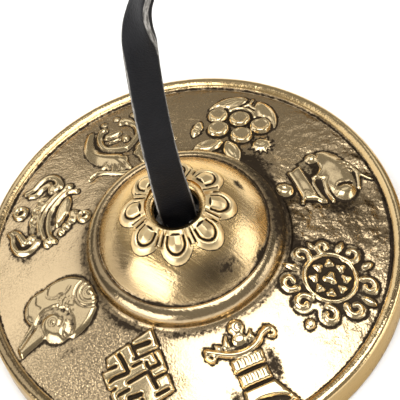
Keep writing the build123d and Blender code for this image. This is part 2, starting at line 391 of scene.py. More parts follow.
# Strap: the route's points, from the mouth of the first bell over to the second
strap = {
    "width": 5.5, "thickness": 1.7, "twist": 90.0, "twistStart": 32.0, "twistEnd": 47.0, "neck": 8.0,
    "below": 6.5, "spacing": 0.5, "corner": 0.45, "crown": 0.10, "edgeCrown": 0.04, "faceSteps": 6,
    "foldZone": 30.0, "blendBelow": 2.0, "blendTop": 1.0, "pressed": 0.12, "pressedOver": 9.0,
    "dyedFrom": 24.0, "dyedOver": 8.0, "dyedAbove": 0.1, "samples": 24,
    "rise1": [(0, 0, 0), (0, 0, 9), (0.5, 2.6, 19.5), (1.5, 5.8, 31), (3.2, 8.4, 42),
              (9.5, 9.8, 54), (21, 9, 64), (35, 7, 68.5)],
    "rise2": [(-35, 7, 68.5), (-20, 5.5, 64), (-9, 3.6, 54), (-3, 1.6, 40.5),
              (-0.6, 0.4, 27), (0, 0, 13), (0, 0, 0)],
}
mouths = {name: Vector((s["x"], 0, mouthHeight)) for name, s in pair.items()}


def smoothLine(name, points, samples):
    # Points along a NURBS line through these control points
    made, spline = newCurve(name, "NURBS", points)
    spline.order_u = 3
    spline.use_endpoint_u = True
    made.data.resolution_u = samples
    mesh = takeMesh(made)
    line = meshPoints(mesh)
    bpy.data.meshes.remove(mesh)
    return line


def evenly(line, spacing):
    # The same line at even steps, with the distance along it
    steps = np.linalg.norm(np.diff(line, axis=0), axis=1)
    along = np.concatenate([[0], np.cumsum(steps)])
    at = np.linspace(0, along[-1], int(round(along[-1] / spacing)) + 1)
    return np.stack([np.interp(at, along, line[:, axis]) for axis in range(3)], axis=1), at


def unit(vectors):
    return vectors / np.maximum(np.linalg.norm(vectors, axis=1), 1e-6)[:, None]


def tangents(line):
    return unit(np.gradient(line, axis=0))


def strapSection(s):
    # Points round the section: across, through, and how raw the edge is there
    half, deep = s["width"] / 2, s["thickness"] / 2
    c = s["corner"]
    flat = [-half + c + (2 * half - 2 * c) * k / s["faceSteps"] for k in range(s["faceSteps"] + 1)]
    face = [(x, deep + s["crown"] * (1 - (x / half) ** 2), 0.0) for x in flat]
    side = [(half - 0.13 * c, deep - 0.5 * c, 0.8), (half, deep - 1.2 * c, 1.0),
            (half + s["edgeCrown"], 0.0, 1.0),
            (half, 1.2 * c - deep, 1.0), (half - 0.13 * c, 0.5 * c - deep, 0.8)]
    return face + side + [(-x, -y, raw) for x, y, raw in face + side]


def strapMesh(name, line, along, across, squeeze, s):
    section = np.array(strapSection(s))
    outline, raw = section[:, :2], section[:, 2]
    through = np.cross(tangents(line), across)
    points = (line[:, None, :] + across[:, None, :] * outline[None, :, 0, None] * squeeze[:, None, None]
              + through[:, None, :] * outline[None, :, 1, None])
    count, around = len(line), len(section)
    index = np.arange(count * around).reshape(count, around)
    following = np.roll(index, -1, axis=1)
    quads = np.stack([index[:-1], index[1:], following[1:], following[:-1]], axis=2).reshape(-1, 4)
    mesh = bpy.data.meshes.new(name)
    caps = [index[0].tolist(), index[-1][::-1].tolist()]
    mesh.from_pydata(points.reshape(-1, 3) * mm, [], quads.tolist() + caps)
    # Texture coordinates: round the section and along the strap, in metres
    lengths = np.linalg.norm(np.diff(np.vstack([outline, outline[:1]]), axis=0), axis=1)
    girth = np.concatenate([[0], np.cumsum(lengths)])
    corners = np.zeros(len(mesh.loops), np.int32)
    mesh.loops.foreach_get("vertex_index", corners)
    uv = np.stack([girth[corners % around], along[corners // around]], axis=1) * mm
    sides = np.arange(quads.size)
    last = sides[(sides % 4 >= 2) & (corners[:quads.size] % around == 0)]
    uv[last, 0] = girth[-1] * mm
    mesh.uv_layers.new(name="along").data.foreach_set("uv", uv.astype(np.float32).ravel())
    dyed = np.clip((along - s["dyedFrom"]) / s["dyedOver"], 0, 1)[:, None]
    setAttributes(mesh, rawEdge=raw * (1 - dyed * (outline[:, 1] > s["dyedAbove"])))
    mesh.materials.append(strapLeather)
    mesh.shade_smooth()
    ends = np.array([edge.vertices[:] for edge in mesh.edges]) // around
    sharp = (ends[:, 0] == ends[:, 1]) & np.isin(ends[:, 0], (0, count - 1))
    mesh.edges.foreach_set("use_edge_sharp", sharp)
    made = newObject(name, mesh)
    return made


def strapFrame(line, along, s):
    # Which way the strap's width points: it gives its quarter turn above the first bell
    tangent = tangents(line)
    side = unit(np.array([0.0, 1.0, 0.0]) - tangent * tangent[:, 1:2])
    front = np.cross(side, tangent)
    share = np.clip((along - s["twistStart"]) / (s["twistEnd"] - s["twistStart"]), 0, 1)
    turned = np.radians(s["twist"]) * share**2 * (3 - 2 * share)
    return front * np.cos(turned)[:, None] - side * np.sin(turned)[:, None]


def bell(at, middle, width):
    return np.exp(-(((at - middle) / width) ** 2))


def makeStrap(s):
    route = [mouths["cymbal_1"] + Vector(p) for p in s["rise1"]]
    route += [mouths["cymbal_2"] + Vector(p) for p in s["rise2"]]
    free, along = evenly(smoothLine("strapRoute", route, s["samples"]), s["spacing"])
    length = along[-1]
    drop = np.arange(-s["below"], 0, s["spacing"])
    down = drop[:, None] * np.array([0.0, 0.0, 1.0])
    line = np.vstack([np.array(mouths["cymbal_1"]) + down, free, np.array(mouths["cymbal_2"]) + down[::-1]])
    along = np.concatenate([drop, along, length - drop[::-1]])
    across = strapFrame(line, along, s)
    widen = 1 + s["pressed"] * (bell(along, 0, s["pressedOver"]) + bell(along, length, s["pressedOver"]))
    cut1 = int(np.argmin(abs(along - s["neck"])))
    cut2 = int(np.argmin(abs(along - (length - s["neck"]))))
    spans = {"strapNeck_1": (0, cut1), "strapArch": (cut1, cut2), "strapNeck_2": (cut2, len(line) - 1)}
    made = {}
    for name, (first, last) in spans.items():
        part = slice(first, last + 1)
        made[name] = strapMesh(name, line[part], along[part], across[part], widen[part], s)
    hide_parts("strap_1", "strap_2")
    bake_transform(made["strapArch"])
    for name, host in (("strapNeck_1", "cymbal_1"), ("strapNeck_2", "cymbal_2")):
        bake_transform(made[name])
    print("strap ready, mm:", round(length, 1))
    return made, round(length * mm, 4), (line[cut1:cut2 + 1] * mm).tolist()


strapPieces, strapLength, strapPath = makeStrap(strap)


# Knots: the strap's end wraps round itself under the bell and leaves a short tail
knotSettings = {
    "squeeze": 0.62, "endShare": 0.12, "spacing": 0.4, "samples": 16, "lead": 6.0, "gap": 0.3, "top": 3.8,
    "path": [(0, 0, 4.2), (0, 0, 1.5), (0.8, -1.2, -1.2), (3.6, -2.2, -3.2), (4.4, 0.6, -2.6),
             (2.6, 3.2, -1.0), (-1.4, 3.5, 0.4), (-4.1, 1.2, -0.4), (-3.6, -2.3, -1.6),
             (-0.4, -3.9, -1.3), (2.8, -2.6, 0.3), (2.2, 0.8, 1.0), (-0.6, 2.4, -1.4),
             (-0.2, 1.6, -3.4), (3.2, 0.4, -3.8), (6.4, 0.0, -5.6), (9.4, 0.0, -7.8)],
}


def makeKnot(host, s):
    spin = Matrix.Rotation(math.radians(pair[host]["knotTurn"]), 3, "Z")
    centre = Vector((pair[host]["x"], 0, seatHeight - s["gap"] - s["top"]))
    path = [centre + spin @ Vector(p) for p in s["path"]]
    line, along = evenly(smoothLine("knotRoute", path, s["samples"]), s["spacing"])
    across = unit(np.cross(tangents(line), line - np.array(centre)))
    # The first stretch stays flat with the strap above it
    first = np.array(spin @ Vector((1, 0, 0)))
    across *= np.sign(across[int(s["lead"] / s["spacing"])] @ first)
    lead = np.clip(1 - along / s["lead"], 0, 1)[:, None]
    across = unit(across * (1 - lead) + first * lead)
    share = np.linspace(0, 1, len(line))
    inside = np.clip(np.minimum(share, 1 - share) / s["endShare"], 0, 1)
    squeeze = 1 - (1 - s["squeeze"]) * inside
    made = strapMesh(f"strapKnot_{host[-1]}", line, along, across, squeeze, strap)
    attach(made, pair[host]["knot"])
    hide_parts(pair[host]["knot"])
    return made


strapKnots = [makeKnot(hostName, knotSettings) for hostName in pair]
print("knots ready")


highest = np.maximum.reduce
nearest = np.minimum.reduce


# Relief drawing: signed distances in millimetres, negative inside
def disc(u, v, x, y, radius):
    return np.hypot(u - x, v - y) - radius


def oval(u, v, x, y, a, b, turn=0.0):
    c, s = math.cos(math.radians(turn)), math.sin(math.radians(turn))
    p, q = (u - x) * c + (v - y) * s, (v - y) * c - (u - x) * s
    k = np.hypot(p / a, q / b)
    return k * (k - 1) / np.maximum(np.hypot(p / a**2, q / b**2), 1e-6)


def bar(u, v, x0, y0, x1, y1, half, halfEnd=None):
    halfEnd = half if halfEnd is None else halfEnd
    dx, dy = x1 - x0, y1 - y0
    t = np.clip(((u - x0) * dx + (v - y0) * dy) / (dx * dx + dy * dy), 0, 1)
    return np.hypot(u - x0 - t * dx, v - y0 - t * dy) - (half + (halfEnd - half) * t)


def stroke(u, v, points, half=0.0, halfEnd=None, steps=5):
    # A ribbon along a smooth line through these points, tapering from half to halfEnd
    halfEnd = half if halfEnd is None else halfEnd
    padded = [points[0], *points, points[-1]]
    line = []
    for a, b, c, d in zip(padded, padded[1:], padded[2:], padded[3:]):
        for k in range(steps):
            t = k / steps
            line.append([0.5 * (2 * b[i] + (c[i] - a[i]) * t + (2 * a[i] - 5 * b[i] + 4 * c[i] - d[i]) * t**2
                                + (3 * b[i] - a[i] - 3 * c[i] + d[i]) * t**3) for i in (0, 1)])
    line.append(list(points[-1]))
    halves = np.linspace(half, halfEnd, len(line))
    return nearest([bar(u, v, *line[k], *line[k + 1], halves[k], halves[k + 1])
                    for k in range(len(line) - 1)])


def leaf(u, v, x0, y0, x1, y1, width):
    # A lens between two tips
    length = math.hypot(x1 - x0, y1 - y0)
    c, s = (x1 - x0) / length, (y1 - y0) / length
    mx, my = (x0 + x1) / 2, (y0 + y1) / 2
    p, q = (u - mx) * c + (v - my) * s, (v - my) * c - (u - mx) * s
    radius = (length**2 + width**2) / (4 * width)
    return np.hypot(p, np.abs(q) + radius - width / 2) - radius


def quad(u, v, *corners):
    # A convex outline, corners anticlockwise
    return highest([((u - x0) * (y1 - y0) - (v - y0) * (x1 - x0)) / math.hypot(x1 - x0, y1 - y0)
                    for (x0, y0), (x1, y1) in zip(corners, corners[1:] + corners[:1])])


def mound(d, height, rounding):
    # A raised form with rounded shoulders; outside it the value keeps falling
    inside = np.clip(-d / rounding, 0, 1)
    return np.where(d < 0, height * np.sin(inside * math.pi / 2), np.maximum(-d, -1.0))


def dish(d, depth, soft):
    inside = np.clip(-d / soft, 0, 1)
    return depth * inside**2 * (3 - 2 * inside)


def groove(d, depth, width):
    return depth * bell(d, 0, width)


def ring(u, v, x, y, radius):
    return np.abs(disc(u, v, x, y, radius))


# Many forms at once: each row is a shape, its measures, and then the two numbers of mound or groove
def raised(u, v, *rows):
    return highest([mound(shape(u, v, *measures), height, rounding)
                    for shape, *measures, height, rounding in rows])


def carved(u, v, *rows):
    return sum(groove(shape(u, v, *measures), depth, width) for shape, *measures, depth, width in rows)


def ridges(u, v, *rows):
    # Round ribbons: half width, height, points and, where they taper, the last half width
    return highest([mound(stroke(u, v, points, half, *last), height, half)
                    for half, height, points, *last in rows])


def scroll(u, v, x, y, radius, start, hand, height):
    # A low boss with a bold curl on it, open at the start angle
    points = []
    for k in range(7):
        angle = math.radians(start + hand * 52 * k)
        reach = radius * (0.74 - 0.085 * k)
        points.append((x + reach * math.cos(angle), y + reach * math.sin(angle)))
    curl = mound(stroke(u, v, points, 0.34 * radius, 0.24 * radius, 2), height, 0.30 * radius)
    return np.maximum(mound(disc(u, v, x, y, radius), 0.24 * height, 0.4), curl)


# The eight emblems: u runs round the bell, v towards it
def lotus(u, v):
    cells = ((-0.9, 2.35, 2.1), (3.6, 2.2, 2.05), (-3.1, -1.0, 2.0), (1.05, -1.5, 2.05), (5.1, -1.1, 1.95))
    forms = [raised(u, v, (bar, 2.9, 7.3, 2.5, 8.4, 0.6, 0.12, 1.0, 0.5))]
    for x, y, r in cells:
        cup = dish(disc(u, v, x + 0.1, y - 0.26, r - 0.5), 0.6, 0.3)
        forms.append(mound(disc(u, v, x, y, r), 1.3, 0.45) - cup)
    cup = dish(leaf(u, v, 2.0, 5.1, 5.1, 7.9, 1.9), 0.6, 0.3)
    forms.append(mound(leaf(u, v, 1.3, 4.9, 5.7, 8.9, 3.2), 1.3, 0.5) - cup)
    lower = leaf(u, v, -3.1, 8.9, 1.1, 4.3, 3.1)
    forms.append(mound(lower, 1.15, 0.8) - groove(lower + 0.75, 0.4, 0.25))
    bud = [disc(u, v, -5.0, 3.1, 1.6)]
    for k in range(8):
        angle = math.radians(50 + 30 * k)
        tip = -5.0 + 2.2 * math.cos(angle), 3.1 + 2.2 * math.sin(angle)
        bud.append(bar(u, v, -5.0, 3.1, *tip, 0.6, 0.15))
    eye = carved(u, v, (ring, -4.8, 2.9, 0.95, 0.4, 0.22), (disc, -4.7, 2.8, 0.0, 0.4, 0.3))
    forms.append(mound(nearest(bud), 1.0, 0.7) - eye)
    crease = carved(u, v, (bar, 6.5, 3.6, 8.1, 3.1, 0.0, 0.4, 0.25))
    forms.append(mound(leaf(u, v, 7.1, 5.5, 7.5, 1.0, 2.2), 0.9, 0.7) - crease)
    for tips in ((-5.7, -1.1, 0.1, -7.3), (7.5, -1.7, 1.7, -7.3)):
        outer = leaf(u, v, *tips, 3.7)
        rib = carved(u, v, (bar, *tips, 0.0, 0.25, 0.25))
        forms.append(mound(outer, 1.15, 0.7) - groove(outer + 0.62, 0.42, 0.22) - rib)
    forms.append(ridges(
        u, v, (0.34, 1.0, [(-1.4, -2.7), (-0.3, -4.0), (1.0, -4.35), (2.5, -4.0), (3.7, -2.7)]),
        (0.3, 0.85, [(-0.3, -4.9), (0.5, -5.35), (0.9, -6.0), (0.9, -7.2)]),
        (0.28, 0.85, [(1.8, -4.9), (1.2, -5.35), (0.9, -6.0)])))
    flower = highest(forms)
    seams = np.abs(nearest([disc(u, v, x, y, r + 0.1) for x, y, r in cells]))
    return np.where(flower > 0, flower - groove(seams, 0.55, 0.2), flower)


def vase(u, v):
    ball = mound(disc(u, v, 0.05, 6.65, 1.7), 1.3, 1.2) - carved(u, v, (ring, 0.5, 6.5, 0.75, 0.45, 0.2))
    neck = mound(quad(u, v, (-4.6, 1.9), (4.35, 1.75), (3.1, 4.35), (-3.2, 4.8)), 1.0, 0.5)
    belly = mound(oval(u, v, -0.1, -2.6, 6.05, 3.75), 1.25, 3.2) - carved(
        u, v, (stroke, [(-2.9, -1.9), (-2.45, -2.9), (-2.75, -4.4)], 0.75, 0.34),
        (stroke, [(1.7, 0.7), (2.2, -0.5), (3.1, -0.75), (3.5, -0.1)], 0.8, 0.4))
    rest = raised(u, v, (quad, (-4.9, 0.0), (5.2, 0.0), (4.6, 2.1), (-4.7, 2.1), 0.3, 0.3),
                  (disc, 4.55, -0.75, 1.35, 1.5, 1.1), (oval, -4.0, -2.6, 1.9, 2.3, 1.5, 1.7))
    pleats = [(0.22, 1.35, [(x - 0.5, -3.7), (x + 0.15, -4.3), (x, -5.2), (x - 0.6, -5.8)])
              for x in (0.1, 1.05, 2.0)]
    folds = ridges(
        u, v, (0.36, 1.3, [(-3.6, 5.2), (-2.4, 4.5), (0.0, 4.35), (3.1, 4.3)]),
        (0.4, 1.3, [(-2.2, 4.4), (-1.7, 3.7), (-3.1, 2.9), (-4.6, 1.9)]),
        (0.26, 1.15, [(-4.9, 1.35), (-3.0, 1.65), (-0.7, 1.6), (0.2, 1.1)]),
        (0.36, 1.5, [(-5.2, 0.1), (-3.2, 0.25), (-1.2, -0.3), (-0.4, -1.1), (0.1, 0.2), (0.5, 1.0)]),
        (0.34, 1.45, [(0.5, 1.0), (0.9, -0.3), (1.8, -1.25), (3.0, -1.35)]),
        (0.3, 0.95, [(-4.2, -5.4), (-1.4, -6.45), (1.6, -6.1)]),
        (0.55, 0.9, [(-0.4, -6.5), (-1.9, -7.1), (-3.3, -8.5)], 0.22), *pleats)
    return highest([ball, neck - groove(v - 2.1, 0.25, 0.5), belly, rest, folds])


def wheel(u, v):
    x, y = 2.0, 0.4
    hub = disc(u, v, x, y, 0.0)
    forms = [mound(hub - 4.5, 0.15, 0.2), mound(np.abs(hub - 4.3) - 0.40, 1.25, 0.40),
             mound(np.abs(hub - 5.5) - 1.1, 0.3, 0.4)]
    for k in range(9):
        angle = math.radians(70 + 45 * k)
        reach, size = (2.7, 0.98) if k < 8 else (0.0, 1.35)
        px, py = x - 0.1 + reach * math.cos(angle), y + reach * math.sin(angle)
        flower = [disc(u, v, px, py, 0.66 * size)]
        for turn in (-95, 25, 145):
            step = angle + math.radians(turn + 40 * math.sin(5 * k))
            lobe = px + 0.52 * size * math.cos(step), py + 0.52 * size * math.sin(step)
            flower.append(disc(u, v, *lobe, 0.46 * size))
        forms.append(mound(nearest(flower), 1.15, 0.4))
    scrolls = ((-1.75, 6.1, 2.1, 250, -1), (3.6, 6.2, 1.95, 280, 1), (6.7, 3.5, 1.7, 200, -1),
               (7.6, -1.1, 2.15, 150, 1), (3.3, -5.8, 2.1, 60, -1), (-1.3, -5.3, 2.15, 100, 1),
               (-4.4, -1.8, 2.1, 30, -1), (-4.2, 2.8, 2.1, 330, 1))
    leaves = ((1.1, 5.4, 0.9, 8.6, 1.3), (-6.1, 0.5, -8.2, 0.5, 1.9), (0.9, -5.3, 0.8, -8.6, 1.6),
              (6.3, 1.2, 9.6, 1.0, 1.3), (5.9, -3.5, 8.0, -5.0, 1.5), (5.4, 4.6, 6.6, 6.4, 1.2))
    forms += [scroll(u, v, *row, 1.15) for row in scrolls]
    return highest(forms + [mound(leaf(u, v, *row), 0.95, 0.5) for row in leaves])


def banner(u, v):
    canopy = [(-4.9, 5.0), (-3.5, 4.1), (-1.4, 2.95), (1.0, 2.55), (3.3, 3.1), (4.8, 4.3), (6.1, 4.7)]
    spikes = ((-1.6, 4.6, -1.0, 6.3), (2.8, 4.5, 3.2, 5.7), (-2.9, 4.7, -3.4, 5.6))
    forms = [
        mound(disc(u, v, 1.1, 6.75, 1.5), 1.3, 1.0) - carved(u, v, (ring, 1.5, 6.7, 0.42, 0.5, 0.17)),
        raised(u, v, (oval, 0.85, 4.75, 1.45, 1.2, 1.05, 0.8), (stroke, canopy, 0.72, 1.35, 0.65),
               (quad, (-2.6, 2.6), (4.2, 2.6), (4.4, 4.4), (-3.2, 4.4), 0.4, 0.4),
               *((bar, *ends, 0.75, 0.18, 0.85, 0.5) for ends in spikes)),
        ridges(u, v, (0.5, 1.25, [(-4.7, 5.1), (-5.3, 4.2), (-4.6, 3.2), (-4.0, 3.7)], 0.4),
               (0.5, 1.25, [(5.6, 5.0), (6.7, 4.4), (6.5, 3.3), (5.7, 3.5)], 0.4))]
    tiers = ((2.15, -0.25, -2.1, 3.7, -2.25, 3.65), (-0.55, -2.95, -1.95, 3.5, -2.0, 3.55))
    for top, low, left, right, leftLow, rightLow in tiers:
        tier = mound(quad(u, v, (leftLow, low), (rightLow, low), (right, top), (left, top)), 1.25, 0.35)
        for k in range(5):
            x = left + (right - left) * (k + 0.65) / 5.2
            pleat = [(x, top - 0.35), (x + 0.2, top - 0.9), (x + 0.1, top - 1.7)]
            tier = tier - carved(u, v, (stroke, pleat, 0.38, 0.15))
        forms.append(tier)
    skirt = mound(quad(u, v, (-3.1, -7.4), (6.2, -8.0), (3.6, -3.2), (-2.1, -3.2)), 1.15, 0.45)
    opening = oval(u, v, 1.9, -6.4, 3.3, 1.05, -12)
    forms.append(skirt - dish(opening, 0.95, 0.35) + groove(opening, 0.25, 0.35))
    return np.where(v > -8.6, highest(forms), -1.0)


def endlessKnot(u, v):
    # A flat plate in the knot's outline, with the gaps between its strands cut in
    plate = quad(u, v, (0.1, 8.6), (-7.4, 0.7), (0.2, -8.4), (6.9, -0.3))
    plate = np.maximum(plate, -disc(u, v, -7.3, 0.6, 1.5))
    gaps = ((0.42, [(-1.8, 4.8), (0.4, 6.1)]), (0.27, [(-2.9, 5.4), (-0.9, 3.2)]),
            (0.25, [(-1.3, 2.8), (2.4, 5.6)]), (0.38, [(-4.3, 3.1), (-3.2, 2.2), (-1.7, 0.6)]),
            (0.33, [(0.9, 2.8), (1.7, 2.1), (3.1, 3.2)]), (0.25, [(1.7, 4.5), (3.3, 3.1)]),
            (0.28, [(2.9, 0.6), (5.0, 2.4)]), (0.36, [(-4.4, -1.7), (-3.9, -1.0), (-1.9, 0.4)]),
            (0.26, [(-1.3, 1.6), (0.1, 2.8)]), (0.3, [(-1.2, -1.1), (1.4, 1.4)]),
            (0.34, [(1.7, 1.5), (3.9, -0.6)]), (0.28, [(-2.3, -3.4), (-0.7, -2.0)]),
            (0.42, [(-0.3, -3.4), (1.5, -2.3)]), (0.32, [(4.2, -1.7), (5.9, -0.2)]),
            (0.3, [(-5.9, -0.1), (-4.0, 1.1)]), (0.3, [(-4.4, -3.6), (-3.0, -2.4)]),
            (0.34, [(1.9, -3.0), (3.2, -4.4)]))
    cuts = []
    for half, points in gaps:
        cuts.append(stroke(u, v, points, half + 0.06))
        # The highest gaps come again at the foot, upside down
        if max(point[1] for point in points) > 4.0:
            cuts.append(np.where(v < -3.6, stroke(0.2 - u, 0.2 - v, points, half), 9.0))
    return mound(plate, 1.25, 0.35) - dish(nearest(cuts), 1.15, 0.26)


def conch(u, v):
    egg = np.minimum(oval(u, v, -0.3, 2.0, 5.9, 6.35, -6), oval(u, v, -2.5, -0.6, 3.75, 4.3, -28))
    creases = ([(-5.5, 1.4), (-4.4, 0.6), (-3.2, 1.0), (-2.6, 2.3)],
               [(-5.2, -1.4), (-4.1, -2.0), (-2.9, -1.4)], [(-4.6, -3.6), (-3.4, -4.1), (-2.3, -3.6)],
               [(-3.1, 4.9), (-2.4, 3.6), (-2.9, 2.4)])
    shell = mound(egg, 0.95, 0.9) + 0.4 * np.clip(-egg / 4.6, 0, 1)
    shell = shell - carved(u, v, *((ring, 0.2, 7.3, radius, 0.42, 0.24) for radius in (0.75, 1.6, 2.6)),
                           *((stroke, points, 0.3, 0.2) for points in creases))
    grains = np.sin(u * 5.3 + 1.2 * np.sin(v * 3.3)) * np.sin(v * 5.1 + 1.1 * np.sin(u * 2.9))
    shell = shell + 0.34 * grains * np.exp(-((((u + 0.6) / 2.3) ** 2 + ((v - 2.8) / 1.6) ** 2) ** 2))
    mouth = oval(u, v, 1.7, -0.6, 3.5, 3.1, 20)
    shell = shell - groove(np.clip(mouth, -0.1, None), 0.5, 0.35) * (mouth < 0.9)
    lip = mound(mouth, 1.6, 2.2) - carved(
        u, v, (ring, 0.86, -0.6, 0.62, 0.45, 0.19),
        (stroke, [(-1.0, -1.2), (-0.6, 0.6), (1.0, 1.1), (2.2, 0.3)], 0.6, 0.3),
        (stroke, [(2.6, 0.9), (3.4, 0.1), (4.3, -0.2)], 0.4, 0.22))
    siphon = mound(quad(u, v, (0.9, -8.4), (2.9, -8.5), (2.5, -2.8), (-2.9, -2.4)), 1.0, 0.6) - carved(
        u, v, (stroke, [(-0.9, -2.8), (-0.1, -4.8), (1.0, -7.6)], 0.6, 0.3),
        (bar, 2.2, -3.6, 2.6, -8.2, 0.0, 0.3, 0.22))
    flow = ridges(u, v, (0.34, 1.3, [(-1.9, 0.4), (-2.2, -1.7), (-1.3, -3.5), (-0.3, -5.6), (0.7, -7.8)]))
    return highest([shell, np.where(v < -2.2, siphon, -1), lip, flow])


def parasol(u, v):
    cap = leaf(u, v, -4.6, 2.0, 2.9, 2.1, 2.7)
    forms = [mound(cap, 1.25, 0.6) - groove(cap, 0.4, 0.25)]
    for x, y, r, hole in ((-0.2, 6.5, 1.45, 0.7), (0.25, -6.6, 1.6, 0.8)):
        forms.append(mound(disc(u, v, x, y, r), 1.15, 0.55) - dish(disc(u, v, x - 0.1, y, hole), 1.0, 0.3))
    beads = ((-0.5, 4.2, 1.05), (0.8, 4.4, 1.0), (2.2, 3.8, 1.0), (3.4, 3.3, 0.8), (0.0, 5.0, 0.6))
    tassels = ((-6.0, 0.8, 1.0), (5.7, 1.5, 1.1), (-5.3, -2.1, 1.3), (5.4, -2.0, 1.2))
    forms.append(raised(u, v, (oval, -0.1, -1.0, 6.2, 3.2, 0.35, 0.4), *((disc, *b, 1.0, 0.7) for b in beads),
                        *((disc, *t, 1.2, 0.8) for t in tassels)))
    for x, y in ((-2.3, -3.1), (-0.3, -3.3), (1.7, -3.0)):
        swag = [(x - 1.0, y + 0.6), (x - 0.6, y - 0.6), (x + 0.5, y - 0.7), (x + 1.0, y + 0.5)]
        forms += [ridges(u, v, (0.36, 1.05, swag)), raised(u, v, (disc, x, y + 0.1, 0.5, 0.9, 0.4))]
    brim = [(-5.3, 2.9), (-4.7, 1.1), (-2.4, 0.0), (-0.2, -0.4), (2.2, 0.1), (4.2, 1.3), (5.3, 2.9)]
    ribbons = ([(-6.0, -1.0), (-7.6, -2.4), (-8.0, -4.0), (-6.8, -5.3), (-5.0, -6.0), (-3.9, -7.4)],
               [(5.9, -0.6), (7.7, -1.6), (8.1, -3.6), (7.0, -5.2), (5.4, -6.1), (4.6, -7.2)],
               [(-6.2, -3.3), (-5.2, -4.4), (-3.9, -5.0), (-3.4, -6.3)],
               [(6.2, -3.2), (5.2, -4.4), (4.4, -5.4), (4.1, -6.6)])
    forms.append(ridges(
        u, v, (0.5, 1.3, brim), (0.42, 1.0, [(-4.6, -0.9), (-0.2, -2.6), (4.2, -0.9)]),
        (0.5, 1.2, [(-5.6, 0.6), (-2.9, -0.9), (-0.2, -1.55), (2.7, -1.1), (5.0, 0.5)]),
        *((0.95, 1.1, points, 0.55) for points in ribbons)))
    return highest(forms)


def fishes(u, v):
    # Two alike, face to face, with a ring of ribbon between them
    w = np.abs(u - 1.1)
    body = [(3.0, 3.7), (4.9, 1.6), (5.8, -0.8), (5.6, -3.2), (4.3, -5.6)]
    tail = [(1.5, 8.3), (3.6, 7.2), (5.4, 5.5), (7.0, 4.7), (8.4, 5.0)]
    ribbon = [(0.0, 2.3), (1.6, 1.5), (3.1, 0.1), (3.6, -1.7), (3.3, -3.4), (2.6, -4.4)]
    rays = ([(2.6, 3.6), (2.0, 5.2), (1.9, 7.2)], [(3.2, 3.6), (3.0, 5.2), (3.3, 6.8)],
            [(3.9, 3.5), (4.1, 4.8), (4.7, 5.8)])
    fins = ([(2.2, 4.0), (1.4, 5.6), (1.2, 7.3)], [(2.9, 4.0), (2.5, 5.6), (2.6, 7.3)],
            [(3.5, 4.0), (3.6, 5.4), (4.0, 6.5)])
    web = mound(quad(w, v, (3.2, 2.4), (5.6, 4.2), (4.4, 6.6), (1.5, 7.7), (0.4, 4.0)), 0.75, 0.6)
    return highest([
        web - carved(w, v, *((stroke, ray, 0.5, 0.2) for ray in rays)),
        ridges(w, v, *((0.5, 1.05, fin, 0.3) for fin in fins)),
        raised(w, v, (stroke, body, 2.1, 0.8, 1.15, 2.1), (stroke, tail, 0.4, 0.5, 1.0, 0.45),
               (stroke, [(3.9, 3.6), (5.4, 4.3), (7.0, 4.5)], 0.8, 0.4, 1.0, 0.6),
               (stroke, ribbon, 0.66, 0.75, 1.25, 0.75), (oval, 2.1, -4.7, 1.2, 0.8, 10, 1.15, 0.6)),
        raised(u, v, (oval, 1.95, -2.6, 1.85, 0.85, -4, 0.95, 0.4), (disc, 0.25, -0.3, 0.85, 1.1, 0.6)),
        ridges(u, v, (0.36, 1.1, [(1.3, -1.0), (2.3, -0.9), (3.2, -1.2)])),
        mound(disc(w, v, 1.3, -6.4, 0.75), 0.7, 0.5) - carved(w, v, (ring, 1.4, -6.3, 0.35, 0.35, 0.16))])


# Where each emblem stands in degrees, its drawing, how dark its antiquing and painted shade are, and how
# brown its film
emblems = {
    "lotus": (53.1, lotus, 1.0, 0.0), "vase": (11.5, vase, 1.0, 0.2), "wheel": (-38.3, wheel, 1.0, 0.0),
    "banner": (-83.2, banner, 0.85, 0.1), "endlessKnot": (-124.9, endlessKnot, 0.95, 0.05),
    "conch": (-168.4, conch, 0.85, 0.45), "parasol": (144.8, parasol, 0.8, 0.2),
    "fishes": (100.0, fishes, 0.7, 0.3),
}
emblemSettings = {
    "circle": 26.0, "halfWidth": 9.9, "halfLength": 9.2, "step": 0.125, "sunk": 0.3, "relief": 0.72,
    "softCells": 1, "fineCells": 4, "uneven": 0.015, "slowCells": 9, "rolling": 0.04, "unevenFrom": 0.3,
    "halo": 0.44, "skirt": 0.25, "dark": (0.18, 5.2, 0.85, 0.22), "rub": (0.4, 3.0),
}


# Casting: the profile is turned by Geometry Nodes
def bulged(start, end, bulge, steps):
    # An arc by its rise over the chord, to the left of the way it runs; the first point is left out
    (x0, y0), (x1, y1) = start, end
    shares = [k / steps for k in range(1, steps + 1)]
    if abs(bulge) < 1e-9:
        return [(x0 + (x1 - x0) * t, y0 + (y1 - y0) * t) for t in shares]
    chord = math.hypot(x1 - x0, y1 - y0)
    radius = (chord**2 / 4 + bulge**2) / (2 * abs(bulge))
    half = math.asin(min(1, chord / 2 / radius))
    along = ((x1 - x0) / chord, (y1 - y0) / chord)
    points = []
    for t in shares:
        angle = -half + 2 * half * t
        run = radius * math.sin(angle) + chord / 2
        rise = math.copysign(radius * math.cos(angle) - radius * math.cos(half), bulge)
        points.append((x0 + along[0] * run - along[1] * rise, y0 + along[1] * run + along[0] * rise))
    return points


